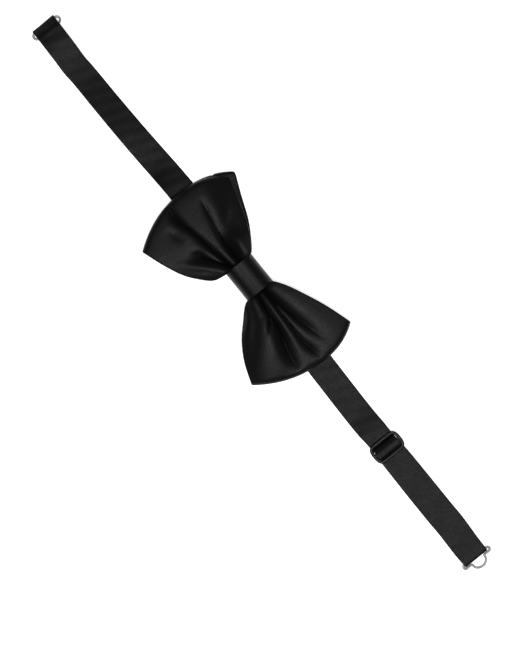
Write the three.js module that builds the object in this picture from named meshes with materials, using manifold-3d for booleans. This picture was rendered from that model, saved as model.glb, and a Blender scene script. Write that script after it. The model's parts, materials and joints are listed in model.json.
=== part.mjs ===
// A ready-tied satin bow tie on an adjustable neck band that closes with a wire hook and eye.
// Millimetres. +X runs along the band towards the eye, +Y is up the bow as it is worn, and +Z is out of its front.
// The origin is the middle of the knot's back face, on the surface that the tie lies on.

import * as THREE from "three";
import { mergeVertices } from "three/addons/utils/BufferGeometryUtils.js";
import Module from "manifold-3d";

const wasm = await Module();
wasm.setup();

// ---- Driving dimensions ----

// Neck band: a flat satin strip that lies on the surface, between the hook's bar and the eye's bar.
const bandWidth = 16;
const bandThickness = 0.8;
const hookBarX = -185.4;
const eyeBarX = 204.6;
const sliderX = 124.5;

// Bow: one closed loop of lined satin, drawn in at the waist under the knot.
const bowHalfLength = 62;
const plyThickness = 1.4; // one side of the loop: two satin faces with the interlining between
const waistPlyThickness = 2; // the same, bunched up inside the knot
const satinWall = 0.3;
const liningClearance = 0.15;
const edgeInset = 0.8; // from the loop's long edges to the channel that holds the interlining
const liningInset = 1.5; // from the same edges to the interlining's own edge
const waistTuck = 1.6; // the drawn-in waist is this much lower than the band's edges, above and below
const plyOverBand = 1.35; // the rear ply's middle above the upper band's, just outside the knot
const wingBulge = 10.4; // how far each wing's outer fold bows out between its corners

// Knot: a satin strip wound once round the waist and the band, with its ends lapped at the back.
const knotLength = 20;
const knotStripThickness = 0.8;
const knotPaddingThickness = 1;
const knotCorner = 3.4;
const knotLap = 8;
const bindingThickness = 0.6;
const bindingLength = 6;

// Hardware.
const wireDiameter = 1.3;
const earReach = 2; // how far the hook and the eye stand out past each edge of the band
const eyeFoldGap = 0.35; // between the band's fold and the eye's outer wires
const eyeLoopWidth = 8.6; // between the loop's wire centres
const eyeLoopReach = 7.2; // from the bar to the loop's far wire centre
const hookPitch = 3.8; // between the hook's bar and its outer wires
const hookReach = 9.6; // from the bar to the bend of the tongue
const hookBillReach = 7.5; // from the bar to the tip of the bill
const hookMouth = 1.4; // the gap that takes the eye's wire
const tongueGap = 0.2; // between the tongue's two wires
const sliderBar = 2.2;
const sliderSlot = 3;
const sliderThickness = 1.3;
const sliderEndBar = 1.5; // past the end of a slot, in the middle of the slider
const sliderEndBulge = 2.7; // how far the round ends stand out past their corners
const slotEndClearance = 0.35; // between the band's edge and the end of a slot
const slotCornerCut = 0.6; // the slots' outer corners are cut off, to follow the round ends

// Sewing.
const threadDiameter = 0.4;
const hookTailEnd = 19; // where the band's folded-back ends stop, from the bar that they are folded round
const anchorTailEnd = 20;
const tackRun = 1.2; // how far a bar tack's zigzag runs along the band

// Clearances.
const layerGap = 0.15; // between two layers that lie on each other
const barGap = 0.45; // between a slider bar and the band wound round it
const cutGap = 0.1; // between two stretches of one strip that ride on different bodies
const threadGap = 0.08;

// ---- Levels that follow ----

const wireRadius = wireDiameter / 2;
const threadRadius = threadDiameter / 2;
const step = bandThickness + layerGap; // from one layer of band to the one that lies on it
const floorLayer = bandThickness / 2; // the middle of a layer that lies on the surface
const foldRadius = wireRadius + layerGap + bandThickness / 2; // of the band's middle, round a wire
const foldOuter = foldRadius + bandThickness / 2;
const hardwareWidth = bandWidth + 2 * earReach;
const eyePitch = foldOuter + eyeFoldGap + wireRadius; // between the eye's bar and its outer wires
const tongueSpacing = wireDiameter + tongueGap; // between the tongue's two wire centres
const waistHalfHeight = bandWidth / 2 - waistTuck;

const knotOuterBack = knotStripThickness / 2;
const knotInnerBack = knotOuterBack + knotStripThickness + layerGap;
const hookBandLevel = knotInnerBack + knotStripThickness / 2 + layerGap + bandThickness / 2;
const eyeBandLevel = hookBandLevel + step;
const bandTackLevel = eyeBandLevel + bandThickness / 2 + threadGap + threadRadius;
const bindingBottom = bandTackLevel + threadRadius + threadGap;
const waistBottom = bindingBottom + bindingThickness + layerGap;
const rearPlyWaist = waistBottom + waistPlyThickness / 2;
const frontPlyWaist = rearPlyWaist + waistPlyThickness + layerGap;
const waistTop = frontPlyWaist + waistPlyThickness / 2;
const bindingTop = waistTop + layerGap + bindingThickness;
const paddingTop = bindingTop + layerGap + knotPaddingThickness;
const knotFront = paddingTop + layerGap + knotStripThickness / 2;
const bindingHalfHeight = waistHalfHeight + layerGap + bindingThickness;
const paddingHalfHeight = bindingHalfHeight + layerGap + knotPaddingThickness;
const knotHalfHeight = paddingHalfHeight + layerGap + knotStripThickness / 2;

// ---- Helpers ----

const toSolid = (geometry) => {
  const bare = geometry.clone();
  bare.deleteAttribute("normal");
  bare.deleteAttribute("uv");
  const merged = mergeVertices(bare, 1e-4);
  return new wasm.Manifold(
    new wasm.Mesh({
      numProp: 3,
      vertProperties: merged.attributes.position.array,
      triVerts: new Uint32Array(merged.index.array),
    }),
  );
};

const toGeometry = (solid) => {
  const mesh = solid.getMesh();
  return new THREE.BufferGeometry()
    .setAttribute("position", new THREE.BufferAttribute(mesh.vertProperties, 3))
    .setIndex(new THREE.BufferAttribute(mesh.triVerts, 1));
};

const point = (a, b) => new THREE.Vector2(a, b);

// Points on an arc about (a, b), from one angle to another in degrees.
const arc = (a, b, radius, from, to, pieces = 6) =>
  Array.from({ length: pieces + 1 }, (_, i) => {
    const angle = THREE.MathUtils.degToRad(from + ((to - from) * i) / pieces);
    return point(a + radius * Math.cos(angle), b + radius * Math.sin(angle));
  });

// A smooth line through a few points.
const smooth = (points, pieces) =>
  new THREE.SplineCurve(points.map(([a, b]) => point(a, b))).getPoints(pieces);

// Drops points that fall on the one before.
const distinct = (points) =>
  points.filter((p, i) => i === 0 || p.distanceTo(points[i - 1]) > 0.02);

// The outline of a strip of the given thickness whose middle follows the points.
function stripOutline(line, thickness) {
  const points = distinct(line);
  const sides = [[], []];
  points.forEach((p, i) => {
    const before = points[Math.max(i - 1, 0)];
    const after = points[Math.min(i + 1, points.length - 1)];
    const along = after.clone().sub(before).normalize();
    const across = point(-along.y, along.x).multiplyScalar(thickness / 2);
    sides[0].push(p.clone().add(across));
    sides[1].unshift(p.clone().sub(across));
  });
  return new THREE.Shape([...sides[0], ...sides[1]]);
}

// A strip that is drawn in X and Z, and spans the band's width in Y.
function bandStrip(line, width = bandWidth, thickness = bandThickness) {
  const settings = { depth: width, bevelEnabled: false, steps: 1 };
  const strip = new THREE.ExtrudeGeometry(stripOutline(line, thickness), settings);
  return strip.rotateX(Math.PI / 2).translate(0, width / 2, 0);
}

// A solid that is drawn in Y and Z, and spans a length in X about the origin.
function acrossKnot(shape, length) {
  const solid = new THREE.ExtrudeGeometry(shape, { depth: length, bevelEnabled: false });
  return solid
    .rotateX(Math.PI / 2)
    .rotateZ(Math.PI / 2)
    .translate(-length / 2, 0, 0);
}

// A round wire or thread along points in space.
function wire(points, radius, steps, sides = 6) {
  const section = new THREE.Shape(arc(0, 0, radius, 0, 360 - 360 / sides, sides - 1));
  const path = new THREE.CatmullRomCurve3(points, false, "centripetal");
  return new THREE.ExtrudeGeometry(section, { steps, extrudePath: path, bevelEnabled: false });
}

// A zigzag of thread across the band, between two lines that each have their own X and height.
function zigzag(fromX, toX, fromZ, toZ, halfWidth = bandWidth / 2 - 2, stitches = 14) {
  const points = [];
  for (let i = 0; i <= stitches; i += 1) {
    const y = -halfWidth + (2 * halfWidth * i) / stitches;
    points.push(i % 2 ? new THREE.Vector3(toX, y, toZ) : new THREE.Vector3(fromX, y, fromZ));
  }
  return wire(points, threadRadius, stitches * 3, 5);
}

// The height of a line of points at one place along it.
function levelAt(line, x) {
  const i = line.findIndex((p) => p.x > x);
  const share = (x - line[i - 1].x) / (line[i].x - line[i - 1].x);
  return THREE.MathUtils.lerp(line[i - 1].y, line[i].y, share);
}

const root = new THREE.Group();
const colours = {
  satin: { color: 0x141415, roughness: 0.42, metalness: 0 },
  lining: { color: 0x2b2b2c, roughness: 0.95, metalness: 0 },
  thread: { color: 0x0c0c0d, roughness: 0.7, metalness: 0 },
  plastic: { color: 0x0b0b0b, roughness: 0.28, metalness: 0 },
  metal: { color: 0xb9babb, roughness: 0.25, metalness: 1 },
};

function add(name, geometry, finish, parent = root) {
  const mesh = new THREE.Mesh(geometry, new THREE.MeshStandardMaterial(colours[finish]));
  mesh.name = name;
  parent.add(mesh);
  return mesh;
}

// ---- Bow ----

// Each wing's long edges, from the waist's middle out to the corner. The wings flare as soon as they leave the knot.
const wings = {
  hookSide: {
    top: smooth(
      [[0, 6.4], [9.9, 6.5], [12.2, 10.8], [17, 14.6], [26, 20.2], [35, 24.1], [44, 27.4], [53.2, 31]],
      56,
    ),
    bottom: smooth(
      [[0, 6.4], [9.9, 6.5], [12.2, 15.2], [17, 22], [24.5, 28.1], [32.5, 32], [41, 35.3], [49.6, 38]],
      56,
    ),
  },
  eyeSide: {
    top: smooth(
      [[0, 6.4], [9.9, 6.5], [12.2, 10.4], [17.5, 14.2], [27, 18.7], [37, 22.7], [46.5, 26], [55.8, 28.6]],
      56,
    ),
    bottom: smooth(
      [[0, 6.4], [9.9, 6.5], [12.2, 13.2], [17.5, 19.2], [24.5, 25.9], [32, 30.9], [40, 34.8], [48.6, 37.6]],
      56,
    ),
  },
};
// The sizes that the edges above are drawn for. The loop is shaped at these, and then fitted to the real ones.
const drawnHalfLength = 62;
const drawnKnot = 10;
const drawnWaist = 6.4;

function fitted(x) {
  const knot = knotLength / 2;
  const past = x - drawnKnot;
  if (past < 0) return (x * knot) / drawnKnot;
  return knot + (past * (bowHalfLength - knot)) / (drawnHalfLength - drawnKnot);
}

function edgeAt(edge, share) {
  const place = share * (edge.length - 1);
  const i = Math.min(Math.floor(place), edge.length - 2);
  return edge[i].clone().lerp(edge[i + 1], place - i);
}

// How much further an inset goes up the wing where the edge is steep.
function steepness(edge, share) {
  const run = edgeAt(edge, share + 0.02).sub(edgeAt(edge, Math.max(share - 0.02, 0)));
  return run.length() / run.x;
}

// The middle of the loop's two plies along one wing, as distances from the bow's middle and heights.
const rearPly = [
  [0, rearPlyWaist],
  [drawnKnot, rearPlyWaist - 0.1],
  [19, eyeBandLevel + plyOverBand],
  [31, 3],
  [45, 2.3],
  [56, 2.6],
];
const frontPly = [
  [0, frontPlyWaist],
  [drawnKnot, frontPlyWaist + 0.2],
  [19, 11.3],
  [31, 12],
  [45, 10.2],
  [56, 7],
];
const tipLevel = 4.6; // where the plies turn into each other

// The plies' middle line, once round in X and Z.
function loopLine() {
  const wing = [...rearPly, [drawnHalfLength - plyThickness / 2, tipLevel], ...frontPly.slice(1).reverse()];
  const otherWing = wing.slice(1).map(([x, z]) => [-x, z]).reverse();
  const points = [...wing, [0, frontPlyWaist], ...otherWing].map(([x, z]) => new THREE.Vector3(x, z, 0));
  return new THREE.CatmullRomCurve3(points, true, "centripetal").getSpacedPoints(64).slice(1);
}

// Where a point of the loop falls, from its X and Z before the wings are shaped and its share of the way down.
function onWing(x, z, down, inset) {
  const share = Math.abs(x) / drawnHalfLength;
  const wing = x < 0 ? wings.hookSide : wings.eyeSide;
  const top = edgeAt(wing.top, share);
  const bottom = edgeAt(wing.bottom, share);
  const high = top.y + waistHalfHeight - drawnWaist;
  const low = drawnWaist - waistHalfHeight - bottom.y;
  const highInset = high - inset * steepness(wing.top, share);
  const lowInset = low + inset * steepness(wing.bottom, share);
  const y = THREE.MathUtils.lerp(highInset, lowInset, down);
  const up = (y - low) / (high - low);
  const straight = THREE.MathUtils.lerp(bottom.x, top.x, up);
  const bulge = wingBulge * share ** 2 * (1 - (2 * up - 1) ** 2);
  return [Math.sign(x) * fitted(straight + bulge), y, z];
}

// A closed loop of ply. Its section is a rectangle that is carried once round the middle line.
function bowLoop(inset, shrink) {
  const rows = 6;
  const line = loopLine();
  const positions = [];
  line.forEach((p, i) => {
    const before = line[(i + line.length - 1) % line.length];
    const after = line[(i + 1) % line.length];
    const along = after.clone().sub(before).normalize();
    const bunched = THREE.MathUtils.smoothstep(Math.abs(p.x), drawnKnot, 2 * drawnKnot);
    const half = (THREE.MathUtils.lerp(waistPlyThickness, plyThickness, bunched) - shrink) / 2;
    for (let row = 0; row <= rows; row += 1) {
      positions.push(...onWing(p.x + along.y * half, p.y - along.x * half, row / rows, inset));
    }
    for (let row = rows; row >= 0; row -= 1) {
      positions.push(...onWing(p.x - along.y * half, p.y + along.x * half, row / rows, inset));
    }
  });
  const ring = 2 * (rows + 1);
  const index = [];
  for (let i = 0; i < line.length; i += 1) {
    const next = ((i + 1) % line.length) * ring;
    for (let k = 0; k < ring; k += 1) {
      const beside = (k + 1) % ring;
      index.push(i * ring + k, next + k, i * ring + beside);
      index.push(i * ring + beside, next + k, next + beside);
    }
  }
  const loop = new THREE.BufferGeometry();
  loop.setAttribute("position", new THREE.Float32BufferAttribute(positions, 3));
  return toSolid(loop.setIndex(index));
}

// The channel opens at the seam where the loop's ends meet, behind the waist.
function bowSatin() {
  const channel = bowLoop(edgeInset, 2 * satinWall);
  const seam = new THREE.BoxGeometry(0.4, waistHalfHeight, waistPlyThickness);
  seam.translate(0, 0, waistBottom);
  return toGeometry(bowLoop(0, 0).subtract(channel).subtract(toSolid(seam)));
}

add("bow_satin", bowSatin(), "satin");
add(
  "bow_interlining",
  toGeometry(bowLoop(liningInset, 2 * (satinWall + liningClearance))),
  "lining",
);

// A rounded rectangle in Y and Z.
function around(halfHeight, low, high, radius) {
  return [
    ...arc(halfHeight - radius, high - radius, radius, 0, 90),
    ...arc(radius - halfHeight, high - radius, radius, 90, 180),
    ...arc(radius - halfHeight, low + radius, radius, 180, 270),
    ...arc(halfHeight - radius, low + radius, radius, 270, 360),
  ];
}

// The thread wound side by side round the waist makes a sleeve.
const bindingCorner = 1;
const bindingRing = new THREE.Shape(around(bindingHalfHeight, bindingBottom, bindingTop, bindingCorner));
const bindingBore = around(
  bindingHalfHeight - bindingThickness,
  waistBottom - layerGap,
  bindingTop - bindingThickness,
  0.1,
);
bindingRing.holes.push(new THREE.Path(bindingBore));
add("waist_binding", acrossKnot(bindingRing, bindingLength), "thread");

// Padding lies over the front and the two sides of the binding, and stops above the band.
const paddingCorner = knotCorner - knotStripThickness / 2 - layerGap;
const paddingInner = bindingHalfHeight + layerGap;
const paddingUnder = bindingTop + layerGap;
const paddingInnerCorner = bindingCorner + layerGap;
const paddingSide = [
  ...arc(paddingInner - paddingInnerCorner, paddingUnder - paddingInnerCorner, paddingInnerCorner, 90, 0),
  point(paddingInner, bindingBottom),
  point(paddingHalfHeight, bindingBottom),
  ...arc(paddingHalfHeight - paddingCorner, paddingTop - paddingCorner, paddingCorner, 0, 90),
];
const paddingMirror = paddingSide.map((p) => point(-p.x, p.y)).reverse();
const paddingEnd = 0.5; // the knot strip reaches this much further than the padding at each end
const padding = new THREE.Shape([...paddingSide, ...paddingMirror]);
add("knot_padding", acrossKnot(padding, knotLength - 2 * paddingEnd), "lining");

// The knot's strip starts inside the back, goes once round, and laps over its own start.
const knotTop = (fromAngle, toAngle, sign) =>
  arc(sign * (knotHalfHeight - knotCorner), knotFront - knotCorner, knotCorner, fromAngle, toAngle);
const backCorner = 1;
const knotLine = [
  point(knotLap / 2, knotInnerBack),
  ...arc(backCorner - knotHalfHeight, knotInnerBack + backCorner, backCorner, 270, 180),
  ...knotTop(180, 90, -1),
  ...knotTop(90, 0, 1),
  ...arc(knotHalfHeight - backCorner, knotOuterBack + backCorner, backCorner, 0, -90),
  point(-knotLap / 2, knotOuterBack),
];
add("knot_wrap", acrossKnot(stripOutline(knotLine, knotStripThickness), knotLength), "satin");

// Hand stitches along the lapped edge, in the step that it leaves.
const seamPoints = [];
const seamStitches = 10;
const seamY = -knotLap / 2 - threadGap - threadRadius;
for (let i = 0; i <= seamStitches; i += 1) {
  const x = (i / seamStitches - 0.5) * (knotLength - 3);
  const level = knotInnerBack - knotStripThickness / 2 - threadGap - threadRadius;
  seamPoints.push(new THREE.Vector3(x, i % 2 ? seamY - tackRun : seamY, level));
}
add("knot_seam_stitch", wire(seamPoints, threadRadius, seamStitches * 3, 5), "thread");

// ---- Neck band, hook side ----

// The hook lies folded back under the band, so the band's end climbs over it and comes down again.
const hookBarZ = foldOuter + 0.05;
const hookTilt = 6; // the hook's frame slopes down to the surface, in degrees
const climb = 38; // the band leaves the bar at this slope, to pass over the hook's outer wires
const hookNod = 0.25; // the hook's slope lowers its bill by more than this
const hookTop = hookBarZ + hookMouth + wireDiameter + wireRadius - hookNod;
const lift = hookTop + step + bandThickness / 2; // the band's middle above the surface, over the hook's bill
const plateau = [5.6, 12]; // the stretch that is lifted that far, from the bar
const downTo = 48; // where the band is back on the surface, from the bar
const rampDown = [[16, 0.93], [23, 0.66], [31, 0.3], [39, 0.07]]; // distance from the bar, share of the lift
const knotSideLength = 18; // the band comes down from the knot's level over this length
const bandLap = 14; // how far the two bands' inner ends lie on each other inside the knot

const slope = THREE.MathUtils.degToRad(climb);
const leaves = point(-foldRadius * Math.sin(slope), hookBarZ + foldRadius * Math.cos(slope));
const enters = point(foldRadius * Math.sin(slope), hookBarZ - foldRadius * Math.cos(slope));
const onSlope = (from, run) => [from.x + run, from.y + run * Math.tan(slope)];
const upperHookLayer = [
  ...arc(0, hookBarZ, foldRadius, 180, 90 + climb),
  ...smooth(
    [
      onSlope(leaves, 0),
      onSlope(leaves, 3),
      [plateau[0], lift],
      [(plateau[0] + plateau[1]) / 2, lift],
      [plateau[1], lift],
      ...rampDown.map(([u, share]) => [u, floorLayer + (lift - floorLayer) * share]),
      [downTo, floorLayer],
    ],
    40,
  ),
];

// The tail is the same strip, folded back under the upper layer.
const belowUpper = upperHookLayer
  .filter((p) => p.x > plateau[0] + 1.5 && p.x < hookTailEnd)
  .map((p) => point(p.x, p.y - step * 1.02));
const lowerHookLayer = [
  ...arc(0, hookBarZ, foldRadius, 180, 270 + climb),
  ...smooth([onSlope(enters, 0.3), onSlope(enters, 3), onSlope(enters, 5), [7, lift - step]], 9),
  ...belowUpper,
];
const fromHookBar = (p) => point(hookBarX + p.x, p.y);
const bandDescent = (sign, level) => [
  [sign * (knotLength / 2 + 0.5), level],
  [sign * (knotLength / 2 + knotSideLength / 3), level - (level - floorLayer) * 0.2],
  [sign * (knotLength / 2 + (2 * knotSideLength) / 3), floorLayer + (level - floorLayer) * 0.2],
  [sign * (knotLength / 2 + knotSideLength), floorLayer],
];
const hookBandLine = [
  ...lowerHookLayer.slice().reverse().map(fromHookBar),
  ...upperHookLayer.slice(1).map(fromHookBar),
  ...smooth(bandDescent(-1, hookBandLevel).reverse(), 10),
  point(bandLap / 2, hookBandLevel),
];
add("band_hook_side", bandStrip(hookBandLine), "satin");

const tackU = hookTailEnd + threadRadius + threadGap;
const tackLevels = [tackU, tackU + tackRun].map(
  (u) => levelAt(upperHookLayer, u) - bandThickness / 2 - threadRadius - 1.5 * threadGap,
);
add("hook_bar_tack", zigzag(hookBarX + tackU, hookBarX + tackU + tackRun, ...tackLevels), "thread");

// ---- Neck band, eye side ----

const backLayer = floorLayer;
const tailLayer = backLayer + step;
const frontLayer = tailLayer + step;
const frameLow = frontLayer + bandThickness / 2 + layerGap;
const frameMiddle = frameLow + sliderThickness / 2;
const barEnd = sliderThickness / 2; // the radius that the band is wound at each side of the middle bar
const barFlat = sliderBar / 2 - barEnd;
const anchorRadius = barEnd + barGap + bandThickness / 2;
const passRadius = anchorRadius + step;
const bendRadius = 1;
const sliderHalfLength = 1.5 * sliderBar + sliderSlot;
const passEnd = sliderHalfLength + 1.2; // where the stretch of band inside the slider ends
const frontDrop = [anchorTailEnd + tackRun + 1, anchorTailEnd + tackRun + 8];
const eyeStub = 6; // the stretch of band at each side of the fold that rides with the eye
const eyeBarZ = floorLayer + foldRadius;
const eyeTop = eyeBarZ + foldRadius;

const eyeBandLine = [
  point(-bandLap / 2, eyeBandLevel),
  ...smooth(bandDescent(1, eyeBandLevel), 10),
  ...smooth(
    [
      [sliderX - passEnd - 14, floorLayer],
      [sliderX - passEnd - 9, floorLayer + 0.25],
      [sliderX - passEnd - 4, frontLayer - 0.25],
      [sliderX - passEnd - cutGap, frontLayer],
    ],
    12,
  ),
];
add("band_eye_side", bandStrip(eyeBandLine), "satin");
const jointTack = zigzag(-bandLap / 3, bandLap / 3, bandTackLevel, bandTackLevel, bandWidth / 2 - 3, 10);
add("band_joint_tack", jointTack, "thread");

// Inside the slider the strip goes under one outer bar, over the middle bar and under the other.
const passHalf = [
  point(-passEnd, frontLayer),
  ...arc(-barFlat - passRadius - bendRadius, frontLayer + bendRadius, bendRadius, 270, 360),
  ...arc(-barFlat, frameMiddle, passRadius, 180, 90),
];
const passLine = [...passHalf, ...passHalf.map((p) => point(-p.x, p.y)).reverse()];
const onSlider = (line) => line.map((p) => point(sliderX + p.x, p.y));
add("band_over_bar", bandStrip(onSlider(passLine)), "satin");

// The strip's end comes back under the slider, is wound round the middle bar, and is sewn down beyond it.
const anchorBackEnd = frontDrop[0];
const anchorLine = [
  point(anchorBackEnd, backLayer),
  ...arc(bendRadius - barFlat - anchorRadius, backLayer + bendRadius, bendRadius, 270, 180),
  ...arc(-barFlat, frameMiddle, anchorRadius, 180, 90),
  ...arc(barFlat, frameMiddle, anchorRadius, 90, 0),
  ...arc(barFlat + anchorRadius + bendRadius, tailLayer + bendRadius, bendRadius, 180, 270),
  point(anchorTailEnd, tailLayer),
];
add("band_anchor_fold", bandStrip(onSlider(anchorLine)), "satin");
const sliderTackX = sliderX + anchorTailEnd + threadRadius + threadGap;
const sliderTackZ = backLayer + bandThickness / 2 + threadGap + threadRadius;
const sliderTack = zigzag(sliderTackX, sliderTackX + tackRun, sliderTackZ, sliderTackZ);
add("slider_bar_tack", sliderTack, "thread");

// From the slider to the eye the strip is doubled: a front run and a back run.
const frontRun = [
  point(sliderX + passEnd + cutGap, frontLayer),
  ...smooth(
    [
      [sliderX + frontDrop[0], frontLayer],
      [sliderX + (frontDrop[0] + frontDrop[1]) / 2, (frontLayer + tailLayer) / 2],
      [sliderX + frontDrop[1], tailLayer],
    ],
    6,
  ),
  ...smooth(
    [
      [eyeBarX - eyeStub - 12, tailLayer],
      [eyeBarX - eyeStub - 6, tailLayer + 0.4],
      [eyeBarX - eyeStub - cutGap, eyeTop - 0.45],
    ],
    6,
  ),
];
add("loop_front", bandStrip(frontRun), "satin");
const backRun = [
  point(sliderX + anchorBackEnd + cutGap, backLayer),
  point(eyeBarX - eyeStub - cutGap, backLayer),
];
add("loop_back", bandStrip(backRun), "satin");
const eyeFold = [
  point(eyeBarX - eyeStub, eyeTop - 0.45),
  point(eyeBarX - eyeStub / 2, eyeTop - 0.15),
  ...arc(eyeBarX, eyeBarZ, foldRadius, 90, -90, 12),
  point(eyeBarX - eyeStub, backLayer),
];
add("eye_fold", bandStrip(eyeFold), "satin");

// ---- Slider ----

const slotHalfWidth = bandWidth / 2 + slotEndClearance;
const sliderHalfWidth = slotHalfWidth + sliderEndBar;

// A plate with two round ends, cut by two slots that leave three bars.
function sliderFrame() {
  const bevel = 0.35;
  const halfX = sliderHalfLength - bevel;
  const shoulder = sliderHalfWidth - sliderEndBulge;
  const reach = sliderEndBulge - bevel;
  const roundEnd = (sign) =>
    Array.from({ length: 13 }, (_, i) => {
      const angle = Math.PI * (i / 12);
      const x = sign * halfX * Math.cos(angle);
      return point(x, sign * (shoulder + reach * Math.sin(angle) ** 0.75));
    });
  const plate = new THREE.ExtrudeGeometry(new THREE.Shape([...roundEnd(1), ...roundEnd(-1)]), {
    depth: sliderThickness - 2 * bevel,
    bevelThickness: bevel,
    bevelSize: bevel,
    bevelSegments: 2,
  }).translate(0, 0, bevel);
  const near = sliderBar / 2;
  const far = near + sliderSlot;
  const slotShape = new THREE.Shape([
    point(near, -slotHalfWidth),
    point(far - slotCornerCut, -slotHalfWidth),
    point(far, slotCornerCut - slotHalfWidth),
    point(far, slotHalfWidth - slotCornerCut),
    point(far - slotCornerCut, slotHalfWidth),
    point(near, slotHalfWidth),
  ]);
  const slot = new THREE.ExtrudeGeometry(slotShape, { depth: 3 * sliderThickness, bevelEnabled: false });
  slot.translate(0, 0, -sliderThickness);
  const otherSlot = slot.clone().rotateZ(Math.PI);
  const frame = toSolid(plate).subtract(toSolid(slot)).subtract(toSolid(otherSlot));
  return toGeometry(frame).translate(sliderX, 0, frameLow);
}
add("slider", sliderFrame(), "plastic");

// ---- Eye ----

// The wire is bent in one plane: U is out from the bar, V is across the band. Its ends butt in the bar.
const buttGap = 0.2;
function eyeWire() {
  const ear = eyePitch / 2;
  const earV = hardwareWidth / 2 - wireRadius - ear;
  const loopV = eyeLoopWidth / 2;
  const corner = 0.8;
  const half = [
    point(0, buttGap / 2),
    point(0, earV * 0.35),
    point(0, earV * 0.7),
    ...arc(ear, earV, ear, 180, 0, 8),
    point(eyePitch, (earV + loopV) / 2 + corner / 2),
    ...arc(eyePitch + corner, loopV + corner, corner, 180, 270, 4),
  ];
  const loopCentre = eyePitch + corner;
  for (let angle = 75; angle > 0; angle -= 15) {
    const turn = THREE.MathUtils.degToRad(angle);
    half.push(point(loopCentre + (eyeLoopReach - loopCentre) * Math.cos(turn), loopV * Math.sin(turn)));
  }
  const far = point(eyeLoopReach, 0);
  const other = half.map((p) => point(p.x, -p.y)).reverse();
  const flat = [...half, far, ...other];
  return wire(flat.map((p) => new THREE.Vector3(p.x, p.y, 0)), wireRadius, 96);
}
const eye = add("eye", eyeWire(), "metal");
const eyeTilt = Math.asin((eyeBarZ - wireRadius - 0.05) / eyeLoopReach);
eye.position.set(eyeBarX, 0, eyeBarZ);
eye.rotation.y = eyeTilt;

// ---- Hook ----

// One wire: bar, ears, outer wires, and a tongue of two wires that is bent back into a bill with a round tip.
function hookWire() {
  const ear = hookPitch / 2;
  const earV = hardwareWidth / 2 - wireRadius - ear;
  const tongueV = tongueSpacing / 2;
  const corner = 1;
  const bend = (hookMouth + wireDiameter) / 2;
  const flat = [
    point(0, buttGap / 2),
    point(0, earV * 0.35),
    point(0, earV * 0.7),
    ...arc(ear, earV, ear, 180, 0, 8),
    point(hookPitch, (earV + tongueV) / 2),
    ...arc(hookPitch + corner, tongueV + corner, corner, 180, 270, 4),
  ];
  const half = flat.map((p) => new THREE.Vector3(p.x, p.y, 0));
  arc(hookReach - bend, bend, bend, -90, 90, 8).forEach((p) => {
    half.push(new THREE.Vector3(p.x, tongueV, p.y));
  });
  arc(hookBillReach, 0, tongueV, 90, 180, 3).forEach((p) => {
    half.push(new THREE.Vector3(p.x, p.y, 2 * bend));
  });
  const last = half.pop();
  const other = half.map((p) => new THREE.Vector3(p.x, -p.y, p.z)).reverse();
  return wire([...half, last, ...other], wireRadius, 110);
}
const hook = add("hook", hookWire(), "metal");
hook.position.set(hookBarX, 0, hookBarZ);
hook.rotation.y = THREE.MathUtils.degToRad(hookTilt);

export default root;
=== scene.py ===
# A ready-tied black satin bow tie, lying on its back, in the order in which it is put together.
# Shapes are worked out in millimetres, in the frame's own axes, and become metres when a mesh is made.
import json
import math

import bpy
import numpy as np
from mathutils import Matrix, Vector


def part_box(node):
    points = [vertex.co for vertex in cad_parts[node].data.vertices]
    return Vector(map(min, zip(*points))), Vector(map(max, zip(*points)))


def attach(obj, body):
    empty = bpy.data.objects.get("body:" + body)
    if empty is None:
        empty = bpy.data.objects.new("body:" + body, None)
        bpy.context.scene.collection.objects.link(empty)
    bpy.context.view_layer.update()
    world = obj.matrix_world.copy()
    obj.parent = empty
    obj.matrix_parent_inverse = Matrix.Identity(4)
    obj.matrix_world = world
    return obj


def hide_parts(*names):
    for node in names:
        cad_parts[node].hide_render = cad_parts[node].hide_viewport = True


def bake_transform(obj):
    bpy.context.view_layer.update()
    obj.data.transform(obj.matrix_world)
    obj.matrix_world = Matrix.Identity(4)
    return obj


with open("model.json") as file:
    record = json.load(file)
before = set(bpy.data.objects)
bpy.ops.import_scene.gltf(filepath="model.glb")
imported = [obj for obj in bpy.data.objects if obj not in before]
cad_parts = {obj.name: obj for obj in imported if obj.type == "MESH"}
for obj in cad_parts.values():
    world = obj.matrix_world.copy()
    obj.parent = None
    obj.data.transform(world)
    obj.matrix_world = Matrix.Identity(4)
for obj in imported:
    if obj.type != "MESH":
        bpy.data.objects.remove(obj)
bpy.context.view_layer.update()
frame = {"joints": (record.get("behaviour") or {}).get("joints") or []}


# ---- Satin bow ----
# The bow is one flat satin tube, lined and sewn into a closed loop that makes both wings, front and rear.
# It is drawn in at the waist, so its front plies break into pleats that fan out from the knot.
# The tube's long edges are pressed folds, and the tube holds a loose interlining in the channel inside it.

MM = 0.001


def through(points, count):
    """A smooth line through a few points, as count even places, or at the shares of its length given."""
    p = np.array(points, float)
    p = np.vstack([2 * p[0] - p[1], p, 2 * p[-1] - p[-2]])
    fine = []
    for i in range(1, len(p) - 2):
        a, b, c, d = p[i - 1], p[i], p[i + 1], p[i + 2]
        for t in np.linspace(0, 1, 24, endpoint=False):
            squared = (2 * a - 5 * b + 4 * c - d) * t**2
            cubed = (3 * b - a - 3 * c + d) * t**3
            fine.append(0.5 * (2 * b + (c - a) * t + squared + cubed))
    fine = np.array(fine + [p[-2]])
    run = np.concatenate([[0], np.cumsum(np.linalg.norm(np.diff(fine, axis=0), axis=1))])
    share = np.linspace(0, 1, count) if np.isscalar(count) else count
    return np.stack([np.interp(share * run[-1], run, fine[:, i]) for i in range(p.shape[1])], axis=1)


def unit(v):
    return v / np.maximum(np.linalg.norm(v, axis=-1, keepdims=True), 1e-12)


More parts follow.
